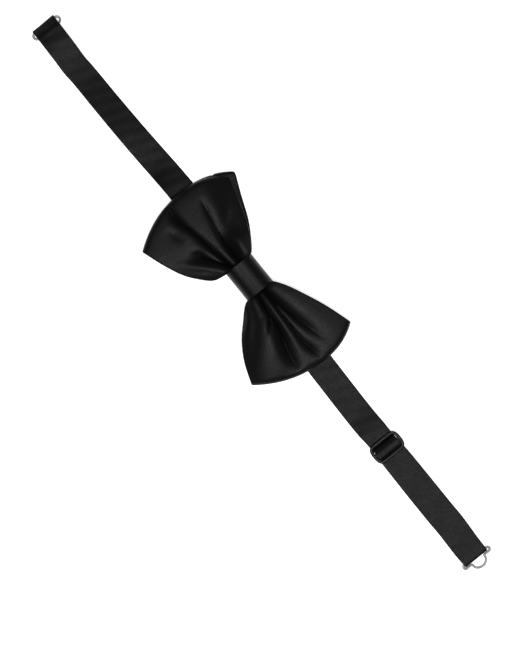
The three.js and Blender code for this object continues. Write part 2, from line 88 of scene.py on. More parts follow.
def skin(name, points, uv, closed=False, inward=False):
    """A closed tube of faces over points[ring, place in ring], capped at both ends or closed on itself."""
    rings, places = points.shape[:2]
    ring, place = np.meshgrid(np.arange(rings if closed else rings - 1), np.arange(places), indexing="ij")
    after = (place + 1) % places
    corners = [(ring, place), (ring + 1, place), (ring + 1, after), (ring, after)]
    faces = np.stack([(r % rings) * places + p for r, p in corners], axis=-1).reshape(-1, 4)
    face_uv = np.stack([uv[r, p] for r, p in corners], axis=2).reshape(-1, 4, 2)
    xyz = points.reshape(-1, 3) * MM
    a, b, c, d = (xyz[faces[:, i]] for i in range(4))
    volume = (np.cross(b, c) * a).sum() + (np.cross(c, d) * a).sum()
    flip = (volume < 0) != inward
    faces = [list(f) for f in (faces[:, ::-1] if flip else faces)]
    loops = face_uv[:, ::-1] if flip else face_uv
    loops = [tuple(x) for x in loops.reshape(-1, 2)]
    if not closed:
        first = list(range(places))
        last = [(rings - 1) * places + p for p in range(places)]
        starts_outward = flip
        faces.append(first if starts_outward else first[::-1])
        faces.append(last[::-1] if starts_outward else last)
        order = [range(places), range(places)[::-1]]
        loops += [tuple(uv[0, p]) for p in order[0 if starts_outward else 1]]
        loops += [tuple(uv[rings - 1, p]) for p in order[1 if starts_outward else 0]]
    mesh = bpy.data.meshes.new(name)
    mesh.from_pydata([tuple(v) for v in xyz], [], faces)
    layer = mesh.uv_layers.new(name="cloth")
    layer.data.foreach_set("uv", (np.array(loops) * MM).astype(np.float32).ravel())
    mesh.shade_smooth()
    piece = bpy.data.objects.new(name, mesh)
    bpy.context.scene.collection.objects.link(piece)
    return piece


def joined(name, first, second):
    """One piece from two, such as a tube's outer skin and the wall of the channel inside it."""
    with bpy.context.temp_override(active_object=first, selected_editable_objects=[first, second]):
        bpy.ops.object.join()
    first.name = name
    first.data.name = name
    return first


# Each wing's long edges, from the middle of the waist to the corner: distance from the middle, half height.
FLARE = {
    "hook side": {
        "rear top": [
            (0, 6), (7, 6.3), (9.8, 8.2), (11.4, 10.7), (18, 15.6), (27, 20.8), (40, 26.2),
            (53.7, 32.3),
        ],
        "front top": [
            (0, 6), (7, 6.3), (9.8, 8.2), (11.4, 10.4), (18, 15), (27, 19.4), (40, 23.7), (53.6, 27.4),
        ],
        "bottom": [
            (0, 6), (7, 6.3), (9.8, 8.9), (11.4, 16.7), (17.5, 23.3), (25.5, 29.1), (37, 34.2),
            (49.8, 38.5),
        ],
    },
    "eye side": {
        "rear top": [
            (0, 6), (7, 6.3), (9.8, 8.1), (11.4, 9.9), (18, 14.2), (27, 18.4), (40, 23.8),
            (56.2, 29.0),
        ],
        "front top": [
            (0, 6), (7, 6.3), (9.8, 8.1), (11.4, 9.9), (18, 14.2), (27, 18.4), (40, 23.8),
            (56.2, 29.0),
        ],
        "bottom": [
            (0, 6), (7, 6.3), (9.8, 8.3), (11.4, 12.4), (17.5, 18.8), (25.5, 26.3), (36, 32.8),
            (48.9, 37.8),
        ],
    },
}
# The loop in section, as distance from the middle of the bow and height: the middle of the rear ply, of the
# front ply on each side, and of the fold at the wing's tip.
REAR_PLY = [
    (0, 5.6), (9, 5.5), (13, 5.0), (20, 4.4), (31, 3.0), (45, 2.4), (56, 3.0), (60, 3.8),
]
FRONT_PLY = {
    "hook side": [
        (8, 9.2), (11, 10.0), (15, 11.0), (23, 11.4), (32, 11.1), (45, 10.9), (56, 10.2), (60.6, 8.9),
    ],
    "eye side": [
        (8, 9.2), (11, 10.0), (15, 11.2), (23, 11.9), (32, 11.7), (45, 10.8), (56, 9.6), (60.5, 8.4),
    ],
}
FRONT_MIDDLE = 8.8
TIP = (61.4, 5.3)
TIP_FOLD_START = 59
TIP_FOLD_LOW, TIP_FOLD_HIGH = 3.8, 7.0
TIP_BULGE = 10.4
HALF_LENGTH = 62
SATIN_WALL = 0.3
PLY_HALF = 0.7
# Pleats of the front ply, out from the knot: distance from the middle, height on the bow, lift, and the
# width of the pleat's slope below and above. A valley has a sharp bottom, and a ridge has a round top.
PLEATS = {
    "hook side": [
        [
            (9, 0.9, -4, 1.3, 2.2), (16, 1.0, -4, 1.3, 3.0), (22, 1.3, -3.4, 1.3, 3.8),
            (28, 1.9, -2.8, 1.2, 5.0), (34, 2.9, -2.1, 1.2, 5.0), (40, 4.2, -1.6, 1.3, 3.0),
            (46, 5.3, -1.1, 1.5, 2.2), (53, 6.6, 0, 1.5, 2.0),
        ],
        [
            (9, -3.8, -3.4, 1.4, 1.3), (16, -5.4, -3.2, 1.7, 1.2), (24, -6.9, -2.7, 2.0, 1.2),
            (32, -7.8, -2.2, 1.8, 1.2), (40, -9.1, -1.8, 1.4, 1.2), (46, -10.8, -2.4, 1.9, 1.6),
            (52, -11.8, -2.6, 2.1, 2.0), (58, -11.3, -1.7, 2.1, 2.1), (61, -11, -0.8, 2, 2),
        ],
        [
            (12, -5.4, -1.0, 1.5, 2.0), (18, -8.5, -2.4, 2.0, 2.4), (23, -11.5, -3.0, 2.6, 2.8),
            (27, -14, -2.6, 3.4, 3.4), (31, -16, -0.6, 3.6, 3.6), (34, -17, 0, 3, 3),
        ],
        [
            (10, -8, 0.4, 2, 2), (17, -13.5, 0.8, 2.5, 2.5), (24, -20, 0.8, 3, 3), (32, -26, 0, 4, 4),
        ],
        [
            (38, -17, 0, 2, 2), (45, -18, -0.8, 2.5, 2), (51, -19, 0, 2.5, 2),
        ],
        [
            (9, 6.0, 0.6, 2.6, 3), (18, 7.6, 1.2, 3, 3.4), (26, 8, 0.6, 3, 4), (32, 8, 0, 3, 4),
        ],
    ],
    "eye side": [
        [
            (9, 1.2, -3.8, 1.0, 1.6), (16, 2.2, -3.6, 1.2, 2.2), (24, 3.6, -3.0, 1.6, 2.8),
            (32, 5.4, -2.5, 2.0, 2.8), (40, 7.4, -2.1, 2.2, 2.8), (47, 9.3, -1.3, 2.5, 3),
            (55, 11, 0, 2.5, 3),
        ],
        [
            (18, 1.4, 0, 0.9, 0.9), (24, 1.2, -1.0, 0.9, 1.0), (32, 1.2, -1.2, 0.9, 1.0),
            (40, 0.9, -1.3, 1.0, 1.2), (47, 0.8, -1.6, 1.4, 1.8), (53, 1.6, -1.9, 1.8, 2.2),
            (59, 3, -0.6, 2, 2), (61.5, 3.5, 0, 2, 2),
        ],
        [
            (9, -2.4, -3.4, 1.4, 1.1), (14, -3.2, -3.2, 1.6, 1.1), (19, -4.1, -2.6, 1.6, 1.0),
            (25, -4.8, -2.2, 1.6, 1.0), (32, -5.4, -2.4, 2.0, 1.4), (40, -7.6, -2.7, 2.8, 2.0),
            (47, -9.6, -2.6, 3.2, 2.3), (53, -10.6, -1.9, 3, 2.6), (59, -11, 0, 3, 3),
        ],
        [
            (24, -5.5, 0, 1.2, 1.0), (27, -7.2, -1.6, 1.2, 1.0), (30, -9.6, -1.1, 1.4, 1.2),
            (32, -11, 0, 1.4, 1.2),
        ],
        [
            (9, -0.6, 0.8, 1.0, 1.0), (20, -0.8, 1.2, 1.4, 1.2), (30, -1.5, 0.9, 1.6, 1.6),
            (44, -3, 0.4, 2, 2), (56, -5, 0, 2, 2),
        ],
        [
            (22, -9, 0, 5, 4), (31, -12, 1.5, 8, 5), (40, -15, 1.8, 10, 6), (48, -17, 1.1, 10, 6),
            (56, -19, 0, 10, 6),
        ],
    ],
}
# Where the front ply rolls down to its top edge (1) or bottom edge (-1): distance, height, drop and width.
ROLLS = {
    "hook side": [
        (1, [
            (10, 9, 0, 2), (18, 12, 0.8, 3), (28, 7, 2.8, 3.2), (36, 9.5, 4.8, 4.5),
            (44, 14, 6.0, 6.5), (58, 18, 4.6, 6.5),
        ]),
        (1, [
            (20, 14, 0, 4), (30, 19, 2, 4), (42, 23, 3, 5), (60, 27, 2.4, 5),
        ]),
        (-1, [
            (10, 13, 2.5, 3), (20, 24, 2.6, 4), (40, 36, 1.4, 6), (60, 42, 1, 7),
        ]),
    ],
    "eye side": [
        (1, [
            (10, 9, 0.5, 2), (20, 13, 1.5, 4), (40, 20, 1.8, 7), (60, 25, 1.2, 8),
        ]),
        (-1, [
            (10, 8.5, 4, 2.5), (20, 13.5, 6.0, 4), (30, 22.5, 5.6, 5.5), (40, 30, 4.6, 6),
            (60, 38, 3, 7),
        ]),
    ],
}


def across_place(line, x):
    """A pleat's or roll's values at distance x from the middle."""
    place, *rest = through(line, 80).T
    return [np.interp(x, place, values) for values in rest]


def front_relief(wing, x, y):
    """How far pleats and rolls move the front ply forwards, at distance x from the middle and height y."""
    lift = np.zeros_like(x)
    for line in PLEATS[wing]:
        height, depth, below, above = across_place(line, x)
        started = np.clip((x - line[0][0]) / 2 + 1, 0, 1) * (x < line[-1][0])
        off = y - height
        u = np.abs(off) / np.where(off < 0, below, above)
        valley = 1.2 * np.exp(-((0.87 * u) ** 1.25))
        ridge = np.exp(-(u**2))
        lift += started * depth * np.where(depth < 0, valley, ridge)
    for side, line in ROLLS[wing]:
        height, drop, width = across_place(line, x)
        lift -= drop * (0.5 + 0.5 * np.tanh((side * y - height) / width))
    return lift


# Rings stand closer together on the front plies, where the pleats are.
RINGS = np.concatenate(
    [np.linspace(0, 0.24, 34), np.linspace(0.24, 0.76, 166)[1:-1], np.linspace(0.76, 1, 34)]
)


def loop_surface(across):
    """The middle of the ply, as points[once round the loop, across from the bottom edge to the top edge]."""
    eye_wing = REAR_PLY + [TIP] + FRONT_PLY["eye side"][::-1]
    hook_wing = [(-x, z) for x, z in FRONT_PLY["hook side"] + [TIP] + REAR_PLY[::-1]]
    section = through(eye_wing + [(0, FRONT_MIDDLE)] + hook_wing, RINGS)[:-1]
    distance, level = np.abs(section[:, 0]), section[:, 1]
    in_front = (RINGS[:-1] > 0.25) & (RINGS[:-1] < 0.75)
    tip_share = np.clip((level - TIP_FOLD_LOW) / (TIP_FOLD_HIGH - TIP_FOLD_LOW), 0, 1)
    front = np.where(distance > TIP_FOLD_START, tip_share, in_front)[:, None]
    up = np.linspace(0, 1, across)[None, :]
    share = (distance / HALF_LENGTH)[:, None]
    points = np.zeros((len(section), across, 3))
    for wing, sign in (("hook side", -1), ("eye side", 1)):
        edge = {k: through(v, share[:, 0]) for k, v in FLARE[wing].items()}
        top = front * edge["front top"] + (1 - front) * edge["rear top"]
        bottom = edge["bottom"]
        low = PLY_HALF - bottom[:, 1:]
        high = top[:, 1:] - PLY_HALF
        y = low + (high - low) * up
        straight = bottom[:, :1] + (top[:, :1] - bottom[:, :1]) * up
        bulge = 1 - np.where(up > 0.5, np.abs(2 * up - 1) ** 2.6, np.abs(2 * up - 1) ** 2.05)
        x = straight + TIP_BULGE * share**2 * bulge
        fade = np.clip((distance[:, None] - 7) / 3, 0, 1)
        behind = -1.5 * np.clip((up - 0.87) / 0.13, 0, 1) ** 1.2
        z = level[:, None] + fade * (front * front_relief(wing, x, y) + (1 - front) * behind)
        here = section[:, 0] * sign > -1e-9
        points[here] = np.stack([sign * x, y, z], axis=-1)[here]
    return points


def ply(name, half, inset, across=100, inward=False):
    """A skin round the whole loop, half away from the middle of the ply and inset from its long edges."""
    middle = loop_surface(across)
    keep = int(round(inset * across / 70))
    if keep:
        middle = middle[:, keep:-keep]
    forward = np.roll(middle, -1, 0) - np.roll(middle, 1, 0)
    upward = np.gradient(middle, axis=1)
    normal = unit(np.cross(upward, forward))
    gathered = np.interp(np.abs(middle[:, :, 0]), [8, 18], [0.25, 0])[..., None]
    reach = half + gathered
    edge_top = unit(upward[:, -1])
    edge_low = -unit(upward[:, 0])
    sections = [middle + normal * reach]
    for turn in (60, 20, -20, -60):
        c, s = math.cos(math.radians(turn)), math.sin(math.radians(turn))
        sections.append((middle[:, -1] + reach[:, -1] * (edge_top * c + normal[:, -1] * s))[:, None])
    sections.append((middle - normal * reach)[:, ::-1])
    for turn in (-60, -20, 20, 60):
        c, s = math.cos(math.radians(turn)), math.sin(math.radians(turn))
        sections.append((middle[:, 0] + reach[:, 0] * (edge_low * c + normal[:, 0] * s))[:, None])
    points = np.concatenate(sections, axis=1)
    centre_line = middle[:, middle.shape[1] // 2]
    steps = np.linalg.norm(np.diff(centre_line, axis=0, append=centre_line[:1]), axis=1)
    along = np.concatenate([[0], np.cumsum(steps)])
    height = np.vstack([points[..., 1], points[:1, :, 1]])
    uv = np.stack([np.broadcast_to(along[:, None], height.shape), height], axis=-1)
    return skin(name, points, uv, closed=True, inward=inward)


bow_outside = ply("bow_outside", PLY_HALF, 0)
bow_channel = ply("bow_channel", PLY_HALF - SATIN_WALL, 1.4, across=50, inward=True)
bow_satin = joined("bow_satin_loop", bow_outside, bow_channel)


def node_group(name, inputs, outputs):
    """An empty shader group with named sockets, and its input and output nodes."""
    group = bpy.data.node_groups.new(name, "ShaderNodeTree")
    for label, kind, value in inputs:
        socket = group.interface.new_socket(label, in_out="INPUT", socket_type=kind)
        if value is not None:
            socket.default_value = value
    for label, kind in outputs:
        group.interface.new_socket(label, in_out="OUTPUT", socket_type=kind)
    return group, group.nodes.new("NodeGroupInput"), group.nodes.new("NodeGroupOutput")


def math_node(tree, operation, *values):
    node = tree.nodes.new("ShaderNodeMath")
    node.operation = operation
    for i, value in enumerate(values):
        if isinstance(value, (int, float)):
            node.inputs[i].default_value = value
        else:
            tree.links.new(value, node.inputs[i])
    return node.outputs[0]


def noise(tree, vector, scale, detail, distortion=0.0):
    """Cloudy unevenness from 0 to 1. scale is how many clouds there are in a metre."""
    node = tree.nodes.new("ShaderNodeTexNoise")
    node.inputs["Scale"].default_value = scale
    node.inputs["Detail"].default_value = detail
    node.inputs["Distortion"].default_value = distortion
    tree.links.new(vector, node.inputs["Vector"])
    return node.outputs["Fac"]


def five_end_satin():
    """Long warp floats that dip under one weft in five. Height is their relief, and Tone their slubs."""
    group, given, out = node_group(
        "five_end_satin",
        [("Vector", "NodeSocketVector", None), ("Thread Spacing", "NodeSocketFloat", 0.0002),
         ("Unevenness", "NodeSocketFloat", 7.0)],
        [("Height", "NodeSocketFloat"), ("Tone", "NodeSocketFloat")],
    )
    split = group.nodes.new("ShaderNodeSeparateXYZ")
    group.links.new(given.outputs["Vector"], split.inputs[0])
    spacing = given.outputs["Thread Spacing"]
    warp = math_node(group, "DIVIDE", split.outputs["Y"], spacing)
    weft = math_node(group, "DIVIDE", split.outputs["X"], spacing)
    step = math_node(group, "MULTIPLY", math_node(group, "FLOOR", warp), 2.0)
    turn = math_node(group, "FLOORED_MODULO", math_node(group, "ADD", weft, step), 5.0)
    off_dip = math_node(group, "ABSOLUTE", math_node(group, "SUBTRACT", turn, 0.5))
    floats = math_node(group, "SMOOTH_MIN", off_dip, 1.0, 0.4)
    across = math_node(group, "SUBTRACT", math_node(group, "FRACT", warp), 0.5)
    fall = math_node(group, "MULTIPLY", math_node(group, "POWER", across, 2.0), 3.0)
    rounded = math_node(group, "SUBTRACT", 1.0, fall)
    height = math_node(group, "MULTIPLY", floats, rounded)
    slub = noise(group, given.outputs["Vector"], 1000, 3)
    group.links.new(slub, out.inputs["Tone"])
    uneven = math_node(group, "MULTIPLY", slub, given.outputs["Unevenness"])
    group.links.new(math_node(group, "ADD", height, uneven), out.inputs["Height"])
    return group


SATIN_GROUP = five_end_satin()


def ranged(tree, value, low, high, span=(0, 1)):
    """A value, spread between two others. span is the part of its own range that counts."""
    spread = tree.nodes.new("ShaderNodeMapRange")
    tree.links.new(value, spread.inputs["Value"])
    spread.inputs["From Min"].default_value, spread.inputs["From Max"].default_value = span
    spread.inputs["To Min"].default_value = low
    spread.inputs["To Max"].default_value = high
    return spread.outputs["Result"]


def tinted(tree, value, dark, light):
    mix = tree.nodes.new("ShaderNodeMix")
    mix.data_type = "RGBA"
    tree.links.new(value, mix.inputs["Factor"])
    mix.inputs["A"].default_value = (*dark, 1)
    mix.inputs["B"].default_value = (*light, 1)
    return mix.outputs["Result"]


def new_finish(name):
    """An empty material, with its node tree and its shader."""
    material = bpy.data.materials.new(name)
    material.use_nodes = True
    return material, material.node_tree, material.node_tree.nodes["Principled BSDF"]


def bumped(tree, shader, height, strength, distance):
    """Relief too fine for the mesh. distance is its depth in metres."""
    bump = tree.nodes.new("ShaderNodeBump")
    bump.inputs["Strength"].default_value = strength
    bump.inputs["Distance"].default_value = distance
    tree.links.new(height, bump.inputs["Height"])
    tree.links.new(bump.outputs["Normal"], shader.inputs["Normal"])


def black_satin(name, roughness=0.37, spacing=0.0002, sheen=0.1, tint=(1, 1, 1)):
    """Black satin: a dull ground under long, smooth threads that give it a soft, broad sheen."""
    material, tree, shader = new_finish(name)
    shader.inputs["Specular IOR Level"].default_value = sheen
    shader.inputs["Specular Tint"].default_value = (*tint, 1)
    cloth = tree.nodes.new("ShaderNodeUVMap")
    cloth.uv_map = "cloth"
    weave = tree.nodes.new("ShaderNodeGroup")
    weave.node_tree = SATIN_GROUP
    weave.inputs["Thread Spacing"].default_value = spacing
    tree.links.new(cloth.outputs["UV"], weave.inputs["Vector"])
    colour = tinted(tree, weave.outputs["Tone"], (0.0008, 0.0008, 0.0008), (0.0042, 0.0041, 0.0040))
    tree.links.new(colour, shader.inputs["Base Color"])
    broad = ranged(tree, noise(tree, cloth.outputs["UV"], 160, 4), -0.05, 0.09)
    fine = ranged(tree, weave.outputs["Tone"], roughness + 0.1, roughness - 0.1, (0.3, 0.7))
    tree.links.new(math_node(tree, "ADD", broad, fine), shader.inputs["Roughness"])
    bumped(tree, shader, weave.outputs["Height"], 0.4, 0.00004)
    return material


bow_finish = black_satin("bow_black_satin")
bow_satin.data.materials.append(bow_finish)
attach(bow_satin, "bow")
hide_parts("bow_satin")


# ---- Interlining ----
# A strip of matt, felted stiffening lies loose in the satin tube. It keeps the wings open and full.
# It is cut a little narrower than the tube, and ends short of the pressed edges.

LINING_HALF = 0.28


def felt(name, tone):
    """Matt felted fibre, for what stiffens or pads the tie where it doesn't show."""
    material, tree, shader = new_finish(name)
    shader.inputs["Specular IOR Level"].default_value = 0.2
    place = tree.nodes.new("ShaderNodeTexCoord")
    fibre = noise(tree, place.outputs["Object"], 2600, 5, 1.2)
    light = tuple(1.7 * c for c in tone)
    tree.links.new(tinted(tree, fibre, tone, light), shader.inputs["Base Color"])
    tree.links.new(ranged(tree, fibre, 0.85, 1.0), shader.inputs["Roughness"])
    bumped(tree, shader, fibre, 0.6, 0.00015)
    return material


interlining = ply("bow_interlining_strip", LINING_HALF, 2.8, across=50)
lining_felt = felt("felted_interlining", (0.022, 0.022, 0.022))
interlining.data.materials.append(lining_felt)
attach(interlining, "bow")
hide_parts("bow_interlining")


# ---- Waist binding ----
# Strong thread is wound side by side round the waist of the bow, over the two plies of the loop.
# It draws them in to the height of the knot and keeps the pleats gathered. The knot covers it.

BINDING_RADIUS = 0.22
BINDING_TURNS = 13
BINDING_HALF_LENGTH = 2.9
WAIST_HALF, WAIST_LOW, WAIST_HIGH = 7.0, 4.35, 10.0
WAIST_ROUNDING = 0.45


def tube(name, path, radius, sides=10):
    """A round wire or thread along a path, with its ends rounded over."""
    ahead = unit(np.gradient(path, axis=0))
    side = np.zeros_like(path)
    guess = np.array([0.0, 0.0, 1.0]) if abs(ahead[0][2]) < 0.9 else np.array([1.0, 0.0, 0.0])
    for i, along in enumerate(ahead):
        guess = guess - along * guess.dot(along)
        guess = guess / np.linalg.norm(guess)
        side[i] = guess
    other = np.cross(ahead, side)
    turn = np.linspace(0, 2 * math.pi, sides, endpoint=False)
    circle = np.cos(turn)[None, :, None] * side[:, None] + np.sin(turn)[None, :, None] * other[:, None]
    points = path[:, None] + radius * circle
    caps = [(0.0, 1.0), (0.55, 0.84), (0.9, 0.45)]
    start = np.stack([path[0] - ahead[0] * radius * c + radius * s * circle[0] for c, s in caps[:0:-1]])
    end = np.stack([path[-1] + ahead[-1] * radius * c + radius * s * circle[-1] for c, s in caps[1:]])
    points = np.concatenate([start, points, end])
    run = np.concatenate([[0], np.cumsum(np.linalg.norm(np.diff(points[:, 0], axis=0), axis=1))])
    uv = np.stack(np.broadcast_arrays(run[:, None], (turn * radius)[None, :]), axis=-1)
    return skin(name, points, uv)


def thread_black(name):
    """Twisted sewing thread, dull black."""
    material, tree, shader = new_finish(name)
    shader.inputs["Specular IOR Level"].default_value = 0.35
    place = tree.nodes.new("ShaderNodeTexCoord")
    twist = tree.nodes.new("ShaderNodeTexWave")
    twist.bands_direction = "DIAGONAL"
    twist.inputs["Scale"].default_value = 1400
    twist.inputs["Distortion"].default_value = 1.5
    tree.links.new(place.outputs["Object"], twist.inputs["Vector"])
    colour = tinted(tree, twist.outputs["Fac"], (0.004, 0.004, 0.004), (0.016, 0.016, 0.016))
    tree.links.new(colour, shader.inputs["Base Color"])
    tree.links.new(ranged(tree, twist.outputs["Fac"], 0.6, 0.75), shader.inputs["Roughness"])
    bumped(tree, shader, twist.outputs["Fac"], 0.5, 0.00005)
    return material


thread = thread_black("black_thread")
turns = np.linspace(0, BINDING_TURNS * 2 * math.pi, BINDING_TURNS * 44)
out, up = np.cos(turns), np.sin(turns)
along = np.linspace(-BINDING_HALF_LENGTH, BINDING_HALF_LENGTH, len(turns))
out = WAIST_HALF * np.sign(out) * np.abs(out) ** WAIST_ROUNDING
up = (WAIST_HIGH - WAIST_LOW) / 2 * np.sign(up) * np.abs(up) ** WAIST_ROUNDING
binding_path = np.stack([along, out, (WAIST_LOW + WAIST_HIGH) / 2 + up], axis=1)
binding = tube("waist_binding_thread", binding_path, BINDING_RADIUS, sides=6)
binding.data.materials.append(thread)
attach(binding, "bow")
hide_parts("waist_binding")


# ---- Knot padding ----
# A folded pad of felt lies over the front and sides of the binding, and gives the knot its rounded front.
# It is open at the back, where the neck band passes.

KNOT_SHOULDER = 3.6
KNOT_LEAN = 2.25


def knot_front(half_height, top, count):
    """The rounded front of the knot in section, from its lower side over the front to its upper side."""
    angle = np.linspace(math.pi, 0, count)
    c, s = np.cos(angle), np.sin(angle)
    y = half_height * np.sign(c) * np.abs(c) ** (2 / KNOT_LEAN)
    z = KNOT_SHOULDER + (top - KNOT_SHOULDER) * np.abs(s) ** (2 / KNOT_LEAN)
    return np.stack([y, z], axis=1)


def cloth_strip(name, path, across, half_width, half_thick, relief=None, places=26, seam=0.0):
    """A flat strip of cloth along a path. relief lifts it off the path, and seam dents its back."""
    count = len(path)
    across = np.broadcast_to(np.array(across, float), path.shape)
    half_width = np.broadcast_to(np.array(half_width, float), count)[:, None]
    half_thick = np.broadcast_to(np.array(half_thick, float), count)[:, None]
    normal = unit(np.cross(unit(np.gradient(path, axis=0)), across))
    flat = np.linspace(-1, 1, places)
    turns = np.radians([60, 30, 0, -30, -60])
    side = np.concatenate([flat, np.ones(5), flat[::-1], -np.ones(5)])
    beyond = np.concatenate([np.zeros(places), np.cos(turns), np.zeros(places), -np.cos(turns)])
    height = np.concatenate([np.ones(places), np.sin(turns), -np.ones(places), -np.sin(turns)])
    place = side * (half_width - half_thick) + beyond * half_thick
    lift = relief(path, place) if relief else np.zeros_like(place)
    dent = seam * np.exp(-((place / 0.45) ** 2)) * (height < -0.99)
    rise = lift + dent + height * half_thick
    points = path[:, None] + across[:, None] * place[..., None] + normal[:, None] * rise[..., None]
    run = np.concatenate([[0], np.cumsum(np.linalg.norm(np.diff(path, axis=0), axis=1))])
    uv = np.stack(np.broadcast_arrays(run[:, None], place), axis=-1)
    return skin(name, points, uv)


pad_section = knot_front(7.95, 10.75, 60)
pad_line = np.column_stack([np.zeros(60), pad_section])
padding = cloth_strip("knot_padding_felt", pad_line, (1, 0, 0), 6.8, 0.36)
padding.data.materials.append(lining_felt)
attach(padding, "bow")
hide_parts("knot_padding")


# ---- Knot ----
# A folded strip of the same satin is wound once round the waist, the padding and the neck band.
# It starts inside the back and laps over its own start, where it is sewn down by hand.
# A soft crease runs along its front, just below the middle.

knot_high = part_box("knot_wrap")[1]
KNOT_HALF_LENGTH = 10.1
KNOT_HALF_THICK = 0.4
KNOT_BACK = KNOT_HALF_THICK
KNOT_INNER_BACK = 3 * KNOT_HALF_THICK + 0.15
KNOT_SIDE = knot_high.y / MM - KNOT_HALF_THICK
KNOT_FRONT = knot_high.z / MM - KNOT_HALF_THICK
KNOT_LAP = 4.0


def quarter(y, z, radius, start, end, count=8):
    angle = np.radians(np.linspace(start, end, count))
    return np.stack([y + radius * np.cos(angle), z + radius * np.sin(angle)], axis=1)


knot_section = np.vstack(
    [
        [(KNOT_LAP, KNOT_INNER_BACK), (0, KNOT_INNER_BACK), (-KNOT_LAP, KNOT_INNER_BACK)],
        quarter(1 - KNOT_SIDE, KNOT_INNER_BACK + 1, 1, 270, 180),
        knot_front(KNOT_SIDE, KNOT_FRONT, 110),
        quarter(KNOT_SIDE - 1, KNOT_BACK + 1, 1, 0, -90),
        [(KNOT_LAP, KNOT_BACK), (0, KNOT_BACK), (-KNOT_LAP, KNOT_BACK)],
    ]
)
knot_path = through(np.column_stack([np.zeros(len(knot_section)), knot_section]), 240)


def knot_relief(path, place):
    """The knot is fullest in the middle of its length, with a crease and soft drag lines along its front."""
    y = path[:, 1:2]
    on_front = np.clip((path[:, 2:] - 5) / 3, 0, 1)
    full = 0.3 * (1 - (place / 10) ** 2) * np.clip((path[:, 2:] - 2.5) / 2, 0, 1)
    crease = 0.05 * np.exp(-(((y + 1.5) / 0.6) ** 2)) + 0.3 * np.exp(-(((y + 1.9) / 2.6) ** 2))
    drag = 0.03 * np.sin(1.2 * y + 0.05 * place) * np.exp(-((y / 6) ** 2))
    return full + on_front * (crease + drag)


knot = cloth_strip(
    "knot_wrap_strip", knot_path, (1, 0, 0), KNOT_HALF_LENGTH, KNOT_HALF_THICK, relief=knot_relief, places=40
)
knot.data.materials.append(bow_finish)
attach(knot, "bow")
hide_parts("knot_wrap")


# ---- Stitches ----
# Hand stitches close the lap at the back of the knot, and machine tacks close each fold of the neck band.
# Each row is one tree of nodes: short stitches stand along a line and lean one way and then the other.


def stitch_tree():
    tree = bpy.data.node_groups.new("row_of_stitches", "GeometryNodeTree")
    face = tree.interface
    sockets = [
        ("From", "NodeSocketVector"),
        ("To", "NodeSocketVector"),
        ("Stitches", "NodeSocketInt"),
        ("Stitch Size", "NodeSocketVector"),
        ("Turn", "NodeSocketVector"),
        ("Lean", "NodeSocketVector"),
        ("Thread", "NodeSocketMaterial"),
    ]
    for label, kind in sockets:
        face.new_socket(label, in_out="INPUT", socket_type=kind)
    face.new_socket("Geometry", in_out="OUTPUT", socket_type="NodeSocketGeometry")
    made = {}
    for label, kind, operation, settings in [
        ("given", "NodeGroupInput", None, {}),
        ("line", "GeometryNodeCurvePrimitiveLine", None, {}),
        ("places", "GeometryNodeResampleCurve", None, {}),
        ("stitch", "GeometryNodeMeshUVSphere", None, {"Segments": 8, "Rings": 7, "Radius": 1}),
        ("index", "GeometryNodeInputIndex", None, {}),
        ("odd", "ShaderNodeMath", "MODULO", {1: 2}),
        ("signed", "ShaderNodeMath", "MULTIPLY_ADD", {1: 2, 2: -1}),
        ("lean", "ShaderNodeVectorMath", "SCALE", {}),
        ("turn", "ShaderNodeVectorMath", "ADD", {}),
        ("stand", "GeometryNodeInstanceOnPoints", None, {}),
        ("real", "GeometryNodeRealizeInstances", None, {}),
        ("finish", "GeometryNodeSetMaterial", None, {}),
        ("out", "NodeGroupOutput", None, {}),
    ]:
        made[label] = tree.nodes.new(kind)
        if operation:
            made[label].operation = operation
        for socket, value in settings.items():
            made[label].inputs[socket].default_value = value
    for source, result, target, socket in [
        ("given", "From", "line", "Start"),
        ("given", "To", "line", "End"),
        ("line", "Curve", "places", "Curve"),
        ("given", "Stitches", "places", "Count"),
        ("index", "Index", "odd", 0),
        ("odd", 0, "signed", 0),
        ("given", "Lean", "lean", 0),
        ("signed", 0, "lean", "Scale"),
        ("lean", 0, "turn", 0),
        ("given", "Turn", "turn", 1),
        ("places", "Curve", "stand", "Points"),
        ("stitch", "Mesh", "stand", "Instance"),
        ("turn", 0, "stand", "Rotation"),
        ("given", "Stitch Size", "stand", "Scale"),
        ("stand", "Instances", "real", "Geometry"),
        ("real", "Geometry", "finish", "Geometry"),
        ("given", "Thread", "finish", "Material"),
        ("finish", "Geometry", "out", "Geometry"),
    ]:
        tree.links.new(made[source].outputs[result], made[target].inputs[socket])
    return tree


STITCH_TREE = stitch_tree()


def row_of_stitches(name, start, end, count, size, lean, body, node, turn=(0, 0, 0)):
    """Stitches from start to end, in millimetres. lean is how far each turns from the row, in degrees."""
    row = bpy.data.objects.new(name, bpy.data.meshes.new(name))
    bpy.context.scene.collection.objects.link(row)
    modifier = row.modifiers.new("stitches", "NODES")
    modifier.node_group = STITCH_TREE
    values = {
        "From": [c * MM for c in start],
        "To": [c * MM for c in end],
        "Stitches": count,
        "Stitch Size": [c * MM for c in size],
        "Turn": [math.radians(c) for c in turn],
        "Lean": [math.radians(c) for c in lean],
        "Thread": thread,
    }
    for item in STITCH_TREE.interface.items_tree:
        if item.in_out == "INPUT":
            modifier[item.identifier] = values[item.name]
    bpy.context.view_layer.update()
    made = row.evaluated_get(bpy.context.evaluated_depsgraph_get())
    mesh = bpy.data.meshes.new_from_object(made)
    row.modifiers.clear()
    row.data = mesh
    mesh.shade_smooth()
    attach(row, body)
    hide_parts(node)
    return row


def middle_of(node):
    """The middle of a CAD piece, in millimetres."""
    return [(a + b) / 2 / MM for a, b in zip(*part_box(node))]


